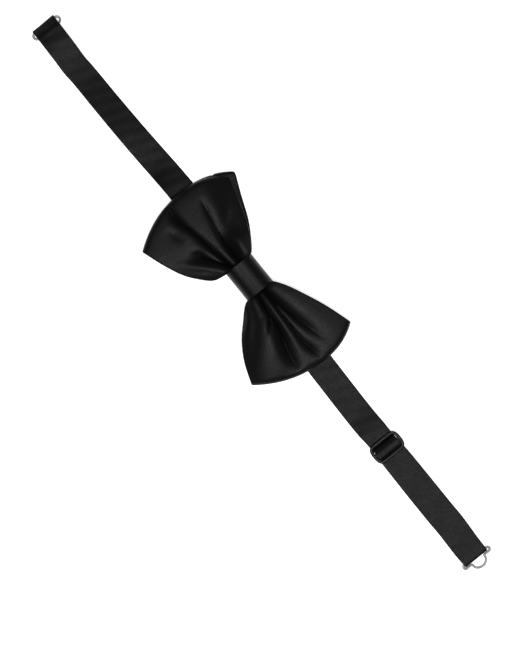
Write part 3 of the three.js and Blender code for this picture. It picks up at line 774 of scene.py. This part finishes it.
lap_y = -KNOT_LAP - 0.25
row_of_stitches(
    "knot_lap_stitches",
    (-8.4, lap_y, 0.62),
    (8.4, lap_y, 0.62),
    11,
    (0.95, 0.17, 0.17),
    (0, 0, 32),
    "bow",
    "knot_seam_stitch",
)
joint_z = middle_of("band_joint_tack")[2]
row_of_stitches(
    "band_joint_stitches",
    (0, -5, joint_z),
    (0, 5, joint_z),
    14,
    (1.6, 0.17, 0.17),
    (0, 0, 14),
    "bow",
    "band_joint_tack",
)


# ---- Neck band, hook side ----
# The neck band is satin fused to a firm interlining and folded flat, with its raw edges met along its back.
# This length is sewn in behind the knot. Its other end goes round the hook's bar and is tacked back under
# itself. The hook lies folded under it, so the end climbs over the hook.

joints = {j["name"]: j for j in frame["joints"]}
hook_bar = [c / MM for c in joints["hook_swing"]["pos_m"]]
BAND_HALF_THICK = 0.4
BAND_HALF_WIDTH = 8.0
FOLD_RADIUS = 1.27
BACK_SEAM = 0.12
LAYER = 2 * BAND_HALF_THICK + 0.17
hook_band_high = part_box("band_hook_side")[1]
LIFT = hook_band_high.z / MM - BAND_HALF_THICK
TAIL_END = 19
WANDER = [
    (-187, -0.5), (-166, -1.0), (-157, -1.4), (-149, -1.0), (-127, -0.8), (-106, -0.4), (-89, 0.2),
    (-71, 0.9), (-50, 1.1), (-20, 0.2), (20, 0), (50, 0.3), (73, -0.1), (87, -0.4), (104, -0.6),
    (117, -0.2), (132, 0.1), (169, 0.1), (183, 0.25), (197, -0.3), (206, -0.3),
]
wander_line = through(WANDER, 300)


def wander(x):
    """How far the band lies to one side of a straight line."""
    return np.interp(x, wander_line[:, 0], wander_line[:, 1])


def laid(section):
    """A path on the band's wandering line, from its places along X and its heights."""
    x, z = section[:, 0], section[:, 1]
    return np.stack([x, wander(x), z], axis=1)


BAND_TILT = [
    (-180, 0), (-164, 1), (-150, 6), (-130, 6.5), (-108, 5.5), (-92, 0), (-84, 0), (-79, 2), (-74, 7),
    (-68, 10), (-64, 7), (-61, 3), (-52, 0), (60, 0), (75, -1), (90, 1), (110, 0),
]


def band_relief(path, place):
    """Fused satin isn't quite flat: it has long, shallow waves, leans a little, and ripples at its edges."""
    x = path[:, :1]
    lean = np.tan(np.radians(np.interp(x, *zip(*BAND_TILT))))
    raised = np.abs(lean) * BAND_HALF_WIDTH - lean * place
    waves = 0.08 * np.sin(0.31 * x + 0.22 * place) + 0.05 * np.sin(0.83 * x - 0.35 * place + 1.1)
    edge = 0.05 * (place / BAND_HALF_WIDTH) ** 4 * np.sin(1.05 * x + np.sign(place) * 1.3)
    return raised + waves + edge


SLOPE = math.radians(38)
hook_x, hook_z = hook_bar[0], hook_bar[2]


def round_bar(x, z, start, end, count=14, radius=FOLD_RADIUS):
    angle = np.radians(np.linspace(start, end, count))
    return np.stack([x + radius * np.cos(angle), z + radius * np.sin(angle)], axis=1)


UPPER_SLOPE = math.radians(36)
upper_start = (-FOLD_RADIUS * math.sin(UPPER_SLOPE), hook_z + FOLD_RADIUS * math.cos(UPPER_SLOPE))
lower_start = (FOLD_RADIUS * math.sin(SLOPE), hook_z - FOLD_RADIUS * math.cos(SLOPE))
climb = math.tan(SLOPE)
upper_run = through(
    [
        upper_start,
        (upper_start[0] + 2, upper_start[1] + 2 * math.tan(UPPER_SLOPE)),
        (4.6, LIFT - 0.12),
        (7.5, LIFT),
        (12.5, LIFT),
        (16, 0.4 + 0.93 * (LIFT - 0.4)),
        (23, 0.4 + 0.66 * (LIFT - 0.4)),
        (31, 0.4 + 0.3 * (LIFT - 0.4)),
        (39, 0.4 + 0.07 * (LIFT - 0.4)),
        (48, 0.4),
    ],
    90,
)
under = upper_run[(upper_run[:, 0] > 7.1) & (upper_run[:, 0] < TAIL_END)]
lower_run = np.vstack(
    [
        through(
            [
                lower_start,
                (lower_start[0] + 3, lower_start[1] + 3 * climb),
                (lower_start[0] + 5, lower_start[1] + 5 * climb),
                (7.0, LIFT - LAYER),
            ],
            14,
        )[:-1],
        np.column_stack([under[:, 0], under[:, 1] - LAYER]),
    ]
)
knot_level = KNOT_INNER_BACK + KNOT_HALF_THICK + 0.15 + BAND_HALF_THICK


def descent(sign, level):
    """The band comes down from inside the knot to what the tie lies on."""
    return [
        (sign * 10.5, level),
        (sign * 16, level - (level - BAND_HALF_THICK) * 0.2),
        (sign * 22, BAND_HALF_THICK + (level - BAND_HALF_THICK) * 0.2),
        (sign * 28, BAND_HALF_THICK),
    ]


flat_run = np.column_stack([np.linspace(hook_x + 49, -30, 120), np.full(120, BAND_HALF_THICK)])
hook_section = np.vstack(
    [
        (lower_run + [hook_x, 0])[::-1],
        round_bar(hook_x, hook_z, 270 + 38, 90 + 36)[1:-1],
        upper_run + [hook_x, 0],
        flat_run,
        through(descent(-1, knot_level)[::-1], 24),
        [(-4, knot_level), (2, knot_level), (7, knot_level)],
    ]
)
hook_path = laid(hook_section)
narrow = np.interp(hook_section[:, 0], [hook_x, -150, -90, -60], [7.7, 7.6, 7.9, BAND_HALF_WIDTH])
hook_band = cloth_strip(
    "band_hook_side_strip", hook_path, (0, 1, 0), narrow, BAND_HALF_THICK, relief=band_relief, seam=BACK_SEAM
)
band_finish = black_satin(
    "band_black_satin", roughness=0.40, spacing=0.00024, sheen=0.091, tint=(1, 0.95, 0.975)
)
hook_band.data.materials.append(band_finish)
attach(hook_band, "bow")
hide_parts("band_hook_side")

tack_x, _, tack_z = middle_of("hook_bar_tack")
row_of_stitches(
    "hook_fold_stitches",
    (tack_x, -6.6, tack_z),
    (tack_x, 5.0, tack_z),
    26,
    (0.85, 0.17, 0.17),
    (0, 0, 16),
    "bow",
    "hook_bar_tack",
    turn=(0, 12, 0),
)


# ---- Neck band, eye side ----
# This length leaves the knot on the eye's side and runs to the slider, where it goes under the first bar.
# It slides through the slider as the neck size is set; here it is one fixed strip between the two.

slider_low, slider_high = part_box("slider")
slider_x = (slider_low.x + slider_high.x) / 2 / MM
FRAME_LOW = slider_low.z / MM
FRAME_MIDDLE = (slider_low.z + slider_high.z) / 2 / MM
FRONT_LAYER = FRAME_LOW - 0.15 - BAND_HALF_THICK
PASS_END = (slider_high.x - slider_low.x) / 2 / MM + 1.2
meet_x = slider_x - PASS_END + 2.3
SLOT_HALF_WIDTH = 7.65
eye_side_section = np.vstack(
    [
        [(-7, knot_level + 0.95), (-2, knot_level + 0.95), (4, knot_level + 0.95)],
        through(descent(1, knot_level + 0.95), 24),
        np.column_stack([np.linspace(30, slider_x - PASS_END - 26, 90), np.full(90, BAND_HALF_THICK)]),
        through(
            [
                (slider_x - PASS_END - 25, BAND_HALF_THICK),
                (slider_x - PASS_END - 16, BAND_HALF_THICK + 0.3),
                (slider_x - PASS_END - 6, FRONT_LAYER - 0.3),
                (slider_x - PASS_END, FRONT_LAYER),
                (meet_x, FRONT_LAYER),
            ],
            26,
        ),
    ]
)


def eye_band_relief(path, place):
    flat_share = np.clip((meet_x - 3 - path[:, :1]) / 6, 0, 1)
    return flat_share * band_relief(path, place)


eye_band = cloth_strip(
    "band_eye_side_strip",
    laid(eye_side_section),
    (0, 1, 0),
    np.interp(eye_side_section[:, 0], [meet_x - 8, meet_x], [BAND_HALF_WIDTH, SLOT_HALF_WIDTH]),
    BAND_HALF_THICK,
    relief=eye_band_relief,
    seam=BACK_SEAM,
)
eye_band.data.materials.append(band_finish)
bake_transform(eye_band)
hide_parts("band_eye_side")


# ---- Slider loop ----
# The same strip goes under the slider's first bar, over the middle one and under the last, out to the eye,
# round the eye's bar, and back under itself to the middle bar, where its end is folded over and tacked.

eye_bar = [c / MM for c in joints["eye_swing"]["pos_m"]]
eye_x, eye_z = eye_bar[0], eye_bar[2]
BAR_HALF = 1.1
BAR_CORNER = 0.65
ANCHOR_RADIUS = BAR_CORNER + 0.45 + BAND_HALF_THICK
PASS_RADIUS = ANCHOR_RADIUS + 2 * BAND_HALF_THICK + 0.45
BAR_FLAT = BAR_HALF - BAR_CORNER
BACK_LAYER = BAND_HALF_THICK
TAIL_LAYER = BACK_LAYER + 0.95
ANCHOR_TAIL = 20
LOOP_HALF_WIDTH = 8.15
sx = slider_x
pass_reach = BAR_FLAT + PASS_RADIUS
pass_top = FRAME_MIDDLE + PASS_RADIUS
pass_over = np.vstack(
    [
        [(meet_x, FRONT_LAYER)],
        round_bar(sx - pass_reach - 1, FRONT_LAYER + 1, 270, 360, 8, 1)[:-1],
        through(
            [
                (sx - pass_reach, FRAME_MIDDLE),
                (sx - 0.85 * pass_reach, FRAME_MIDDLE + 0.55 * PASS_RADIUS),
                (sx - 0.4 * pass_reach, FRAME_MIDDLE + 0.86 * PASS_RADIUS),
                (sx - 0.05 * pass_reach, pass_top - 0.02),
                (sx + 0.3 * pass_reach, pass_top - 0.06),
                (sx + 0.62 * pass_reach, pass_top - 0.14),
                (sx + 0.84 * pass_reach, pass_top - 0.36),
                (sx + 0.97 * pass_reach, pass_top - 1.2),
                (sx + pass_reach, FRAME_MIDDLE),
            ],
            36,
        ),
        round_bar(sx + pass_reach + 1, FRONT_LAYER + 1, 180, 270, 8, 1)[1:],
    ]
)
front_run = through(
    [
        (sx + PASS_END, FRONT_LAYER),
        (sx + ANCHOR_TAIL + 2, FRONT_LAYER),
        (sx + ANCHOR_TAIL + 12, FRONT_LAYER - 0.35),
        (sx + ANCHOR_TAIL + 24, TAIL_LAYER + 0.25),
        (sx + ANCHOR_TAIL + 36, TAIL_LAYER + 0.1),
        (eye_x - 14, TAIL_LAYER + 0.3),
        (eye_x - 6, eye_z + FOLD_RADIUS - 0.45),
        (eye_x - 3, eye_z + FOLD_RADIUS - 0.15),
        (eye_x, eye_z + FOLD_RADIUS),
    ],
    100,
)
back_run = np.column_stack([np.linspace(eye_x - 1, sx + 1.2, 90), np.full(90, BACK_LAYER)])
anchor = np.vstack(
    [
        round_bar(sx + 1 - BAR_FLAT - ANCHOR_RADIUS, BACK_LAYER + 1, 270, 180, 8, 1),
        round_bar(sx - BAR_FLAT, FRAME_MIDDLE, 180, 90, 12, ANCHOR_RADIUS),
        round_bar(sx + BAR_FLAT, FRAME_MIDDLE, 90, 0, 12, ANCHOR_RADIUS),
        round_bar(sx + BAR_FLAT + ANCHOR_RADIUS + 1, TAIL_LAYER + 1, 180, 270, 8, 1),
        np.column_stack([np.linspace(sx + 5, sx + ANCHOR_TAIL, 16), np.full(16, TAIL_LAYER)]),
    ]
)
loop_section = np.vstack(
    [pass_over, front_run, round_bar(eye_x, eye_z, 90, -90, 20)[1:-1], back_run, anchor]
)
loop_path = laid(loop_section)
on_front = np.zeros(len(loop_path))
first_front = len(pass_over)
on_front[first_front : first_front + len(front_run)] = np.sin(np.linspace(0, math.pi, len(front_run))) ** 0.5
on_back = np.zeros(len(loop_path))
first_back = first_front + len(front_run) + 18
on_back[first_back : first_back + len(back_run)] = np.sin(np.linspace(0, math.pi, len(back_run))) ** 0.5
loop_path[:, 1] += 0.25 * on_front - 0.45 * on_back


def loop_relief(path, place):
    return on_front[:, None] * (0.5 * band_relief(path, place) + 0.08)


loop_half_width = np.interp(
    loop_path[:, 0],
    [meet_x, sx, sx + 2, sx + 8, eye_x - 20, eye_x],
    [SLOT_HALF_WIDTH, SLOT_HALF_WIDTH, BAND_HALF_WIDTH, LOOP_HALF_WIDTH, LOOP_HALF_WIDTH, BAND_HALF_WIDTH],
)
loop = cloth_strip(
    "slider_loop_strip", loop_path, (0, 1, 0), loop_half_width, BAND_HALF_THICK, relief=loop_relief
)
loop.data.materials.append(band_finish)
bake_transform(loop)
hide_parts("band_over_bar", "band_anchor_fold", "loop_front", "loop_back", "eye_fold")

fold_x, _, fold_z = middle_of("slider_bar_tack")
row_of_stitches(
    "slider_fold_stitches",
    (fold_x, -6, fold_z),
    (fold_x, 6, fold_z),
    26,
    (0.8, 0.16, 0.16),
    (0, 0, 16),
    "slider_and_bar_bands",
    "slider_bar_tack",
)


# ---- Slider ----
# A three-bar slider, moulded in glossy black plastic. Its ends are rounded, and all its edges are softened.
# The band is folded round its middle bar and passes under both outer ones.

SLIDER_HALF_X = (slider_high.x - slider_low.x) / 2 / MM
SLIDER_HALF_Y = slider_high.y / MM
SLIDER_HALF_THICK = (slider_high.z - slider_low.z) / 2 / MM
OUTER_BAR_HALF = 1.05
END_HALF = 0.95


def frame_line():
    """The middle of the slider's rounded frame, and the half width of its bars there."""
    x, y = SLIDER_HALF_X - OUTER_BAR_HALF, SLIDER_HALF_Y - END_HALF
    corner = [(x, -4), (x, 4), (x - 0.1, y - 2.6), (x - 0.8, y - 1.1), (x - 2.3, y - 0.25), (0, y)]
    half = corner + [(-a, b) for a, b in corner[-2:1:-1]]
    ring = through(half + [(-a, -b) for a, b in half] + half[:1], 160)[:-1]
    on_end = np.clip((np.abs(ring[:, 1]) - y + 2.6) / 2.6, 0, 1)
    return ring, OUTER_BAR_HALF + (END_HALF - OUTER_BAR_HALF) * on_end


def moulded_bar(name, line, half_width, closed):
    """A moulded bar along a flat line, with a softly rounded section."""
    if closed:
        ahead = unit(np.roll(line, -1, 0) - np.roll(line, 1, 0))
    else:
        ahead = unit(np.gradient(line, axis=0))
    side = np.stack([ahead[:, 1], -ahead[:, 0]], axis=1)
    angle = np.linspace(0, 2 * math.pi, 28, endpoint=False)
    c, sn = np.cos(angle), np.sin(angle)
    out = np.sign(c) * np.abs(c) ** 0.95
    up = np.sign(sn) * np.abs(sn) ** 0.95
    half_width = np.broadcast_to(half_width, len(line))
    xy = line[:, None] + side[:, None] * (half_width[:, None] * out)[..., None]
    z = np.broadcast_to(FRAME_MIDDLE + SLIDER_HALF_THICK * up, xy.shape[:2])
    points = np.concatenate([xy + [sx, 0], z[..., None]], axis=-1)
    run = np.concatenate([[0], np.cumsum(np.linalg.norm(np.diff(line, axis=0), axis=1))])
    uv = np.stack(np.broadcast_arrays(run[:, None], angle[None]), axis=-1)
    if closed:
        uv = np.concatenate([uv, uv[:1]])
    return skin(name, points, uv, closed=closed)


frame_ring, ring_half = frame_line()
slider_ring = moulded_bar("slider_ring", frame_ring, ring_half, True)
middle_y = np.linspace(-(SLIDER_HALF_Y - END_HALF), SLIDER_HALF_Y - END_HALF, 30)
slider_middle = moulded_bar("slider_middle", np.stack([0 * middle_y, middle_y], axis=1), BAR_HALF, False)
slider = joined("slider_frame", slider_ring, slider_middle)


def scuffs():
    """Fine scratches and worn patches, as a mask from 0 to 1. Wear sets how much there is."""
    group, given, out = node_group(
        "scuffs",
        [("Vector", "NodeSocketVector", None), ("Wear", "NodeSocketFloat", 0.3)],
        [("Mask", "NodeSocketFloat")],
    )
    stretch = group.nodes.new("ShaderNodeMapping")
    stretch.inputs["Scale"].default_value = (300, 2600, 900)
    stretch.inputs["Rotation"].default_value = (0, 0, 0.5)
    group.links.new(given.outputs["Vector"], stretch.inputs["Vector"])
    sharp = math_node(group, "GREATER_THAN", noise(group, stretch.outputs["Vector"], 1, 5), 0.58)
    group.links.new(math_node(group, "MULTIPLY", sharp, given.outputs["Wear"]), out.inputs["Mask"])
    return group


SCUFFS = scuffs()


def hard_finish(name, colour, worn, metallic, roughness, wear, shine=0.5):
    """A moulded or plated surface with fine scuffs."""
    material, tree, shader = new_finish(name)
    shader.inputs["Metallic"].default_value = metallic
    shader.inputs["Specular IOR Level"].default_value = shine
    place = tree.nodes.new("ShaderNodeTexCoord")
    marks = tree.nodes.new("ShaderNodeGroup")
    marks.node_tree = SCUFFS
    marks.inputs["Wear"].default_value = wear
    tree.links.new(place.outputs["Object"], marks.inputs["Vector"])
    tree.links.new(tinted(tree, marks.outputs["Mask"], colour, worn), shader.inputs["Base Color"])
    dulled = ranged(tree, marks.outputs["Mask"], roughness, roughness + 0.3)
    tree.links.new(dulled, shader.inputs["Roughness"])
    bumped(tree, shader, noise(tree, place.outputs["Object"], 700, 2), 0.12, 0.0001)
    return material


PLASTIC = (0.005, 0.005, 0.0045)
PLASTIC_WORN = (0.014, 0.014, 0.014)
slider.data.materials.append(
    hard_finish("gloss_black_plastic", PLASTIC, PLASTIC_WORN, 0.0, 0.13, 0.35, shine=0.08)
)
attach(slider, "slider_and_bar_bands")
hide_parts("slider")


# ---- Eye ----
# One nickel-plated wire, bent flat: a bar in the band's fold, an ear at each side, and a round loop.
# Its two ends butt inside the fold. Its loop slopes down to what the tie lies on.

WIRE = 0.7
EAR_REACH = 10.0
NICKEL = (0.29, 0.286, 0.28)
NICKEL_WORN = (0.2, 0.197, 0.192)
plated = hard_finish("nickel_plate", NICKEL, NICKEL_WORN, 1.0, 0.55, 0.5)


def mirrored(half):
    """A wire's whole line, from the half on the upper side."""
    other = half[::-1] * [1, -1, 1]
    return np.vstack([half, other[1:] if abs(half[-1][1]) < 1e-6 else other])


def flat_arc(u, v, radius, start, end, count=10):
    angle = np.radians(np.linspace(start, end, count))
    return np.stack([u + radius * np.cos(angle), v + radius * np.sin(angle), np.zeros(count)], axis=1)


def turned(line, tilt, place):
    """A line bent in its own plane, tilted about the bar and put where the bar is."""
    c, s = math.cos(tilt), math.sin(tilt)
    x = line[:, 0] * c + line[:, 2] * s
    z = -line[:, 0] * s + line[:, 2] * c
    return np.stack([x + place[0], line[:, 1], z + place[2]], axis=1)


EYE_PITCH = 2.6
EYE_LOOP = 4.3
EYE_REACH = 7.2
ear_y = EAR_REACH - WIRE - EYE_PITCH / 2
eye_half = np.vstack(
    [
        [(0, 0.1, 0), (0, ear_y * 0.5, 0)],
        flat_arc(EYE_PITCH / 2, ear_y, EYE_PITCH / 2, 180, 0),
        [(EYE_PITCH, (ear_y + EYE_LOOP) / 2 + 0.5, 0)],
        flat_arc(EYE_PITCH + 0.8, EYE_LOOP + 0.8, 0.8, 180, 270, 5),
        [
            (3.4 + (EYE_REACH - 3.4) * math.cos(a), EYE_LOOP * math.sin(a), 0)
            for a in np.radians([75, 60, 45, 30, 15, 0])
        ],
    ]
)
eye_tilt = math.asin((eye_z - WIRE - 0.05) / EYE_REACH)
eye_line = turned(through(mirrored(eye_half), 260), eye_tilt, eye_bar)
eye_piece = tube("eye_wire_loop", eye_line, WIRE, sides=14)
eye_piece.data.materials.append(plated)
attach(eye_piece, "eye_wire")
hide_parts("eye")


# ---- Hook ----
# One wire of the same kind: a bar in the band's fold, an ear at each side, and a tongue of two wires.
# The tongue is bent back over itself into a bill, and the hook lies folded under the band.

HOOK_TILT = math.radians(6)
HOOK_SIDE_SLIP = -0.3
HOOK_PITCH = 3.8
HOOK_REACH = 9.6
BILL_REACH = 7.5
TONGUE = 0.75
BILL_BEND = (1.4 + 2 * WIRE) / 2
hook_ear_y = EAR_REACH - WIRE - HOOK_PITCH / 2
bend = np.radians(np.linspace(-90, 90, 12))
bend_x = HOOK_REACH - BILL_BEND + BILL_BEND * np.cos(bend)
bend_z = BILL_BEND + BILL_BEND * np.sin(bend)
hook_half = np.vstack(
    [
        [(0, 0.1, 0), (0, hook_ear_y * 0.5, 0)],
        flat_arc(HOOK_PITCH / 2, hook_ear_y, HOOK_PITCH / 2, 180, 0),
        [(HOOK_PITCH, (hook_ear_y + TONGUE) / 2, 0)],
        flat_arc(HOOK_PITCH + 1, TONGUE + 1, 1, 180, 270, 6),
        np.stack([bend_x, np.full(12, TONGUE), bend_z], axis=1),
        [
            (BILL_REACH - TONGUE * math.sin(a), TONGUE * math.cos(a), 2 * BILL_BEND)
            for a in np.radians([0, 30, 60, 90])
        ],
    ]
)
hook_half[-1][1] = 0
hook_line = turned(through(mirrored(hook_half), 320), HOOK_TILT, hook_bar) + [0, HOOK_SIDE_SLIP, 0]
hook_piece = tube("hook_wire_bent", hook_line, WIRE, sides=14)
hook_piece.data.materials.append(plated)
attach(hook_piece, "hook_wire")
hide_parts("hook")


# ---- Floor, light and camera ----
# The tie lies on a plain white surface, under a wide soft light and a smaller one on the eye's side.
# It is seen from straight above, with the band running from corner to corner.

bpy.ops.mesh.primitive_plane_add(size=6, location=(0, 0, -0.0003))
floor = bpy.context.object
floor.name = "white_floor"
paper, _, paper_shader = new_finish("white_paper")
paper_shader.inputs["Base Color"].default_value = (0.93, 0.93, 0.93, 1)
paper_shader.inputs["Roughness"].default_value = 0.9
paper_shader.inputs["Specular IOR Level"].default_value = 0.1
paper_shader.inputs["Emission Color"].default_value = (1, 1, 1, 1)
paper_shader.inputs["Emission Strength"].default_value = 0.55
floor.data.materials.append(paper)

world = bpy.data.worlds.new("studio")
world.use_nodes = True
world.node_tree.nodes["Background"].inputs["Color"].default_value = (1, 1, 1, 1)
world.node_tree.nodes["Background"].inputs["Strength"].default_value = 0.2
bpy.context.scene.world = world


def soft_box(name, place, aim, size, power):
    light = bpy.data.lights.new(name, "AREA")
    light.shape = "RECTANGLE"
    light.size, light.size_y = size
    light.energy = power
    lamp = bpy.data.objects.new(name, light)
    bpy.context.scene.collection.objects.link(lamp)
    lamp.location = place
    lamp.rotation_euler = (Vector(aim) - Vector(place)).to_track_quat("-Z", "Y").to_euler()
    lamp.visible_camera = False


soft_box("overhead_light", (0, 0, 2.0), (0, 0, 0), (3.0, 3.0), 16)
soft_box("key_light", (0.36, -0.24, 1.8), (0, 0, 0), (0.85, 0.85), 26)

VIEW_TURN = math.radians(51)
VIEW_HEIGHT = 0.3714
VIEW_MIDDLE = (0.0248, -0.0124)
FILM_HEIGHT = 36
LENS = 110
camera_data = bpy.data.cameras.new("camera")
camera_data.sensor_fit = "VERTICAL"
camera_data.sensor_height = FILM_HEIGHT
camera_data.lens = LENS
camera = bpy.data.objects.new("camera", camera_data)
bpy.context.scene.collection.objects.link(camera)
camera.location = (*VIEW_MIDDLE, VIEW_HEIGHT * LENS / FILM_HEIGHT)
camera.rotation_euler = (0, 0, VIEW_TURN)
bpy.context.scene.camera = camera
bpy.context.scene.view_settings.view_transform = "Standard"
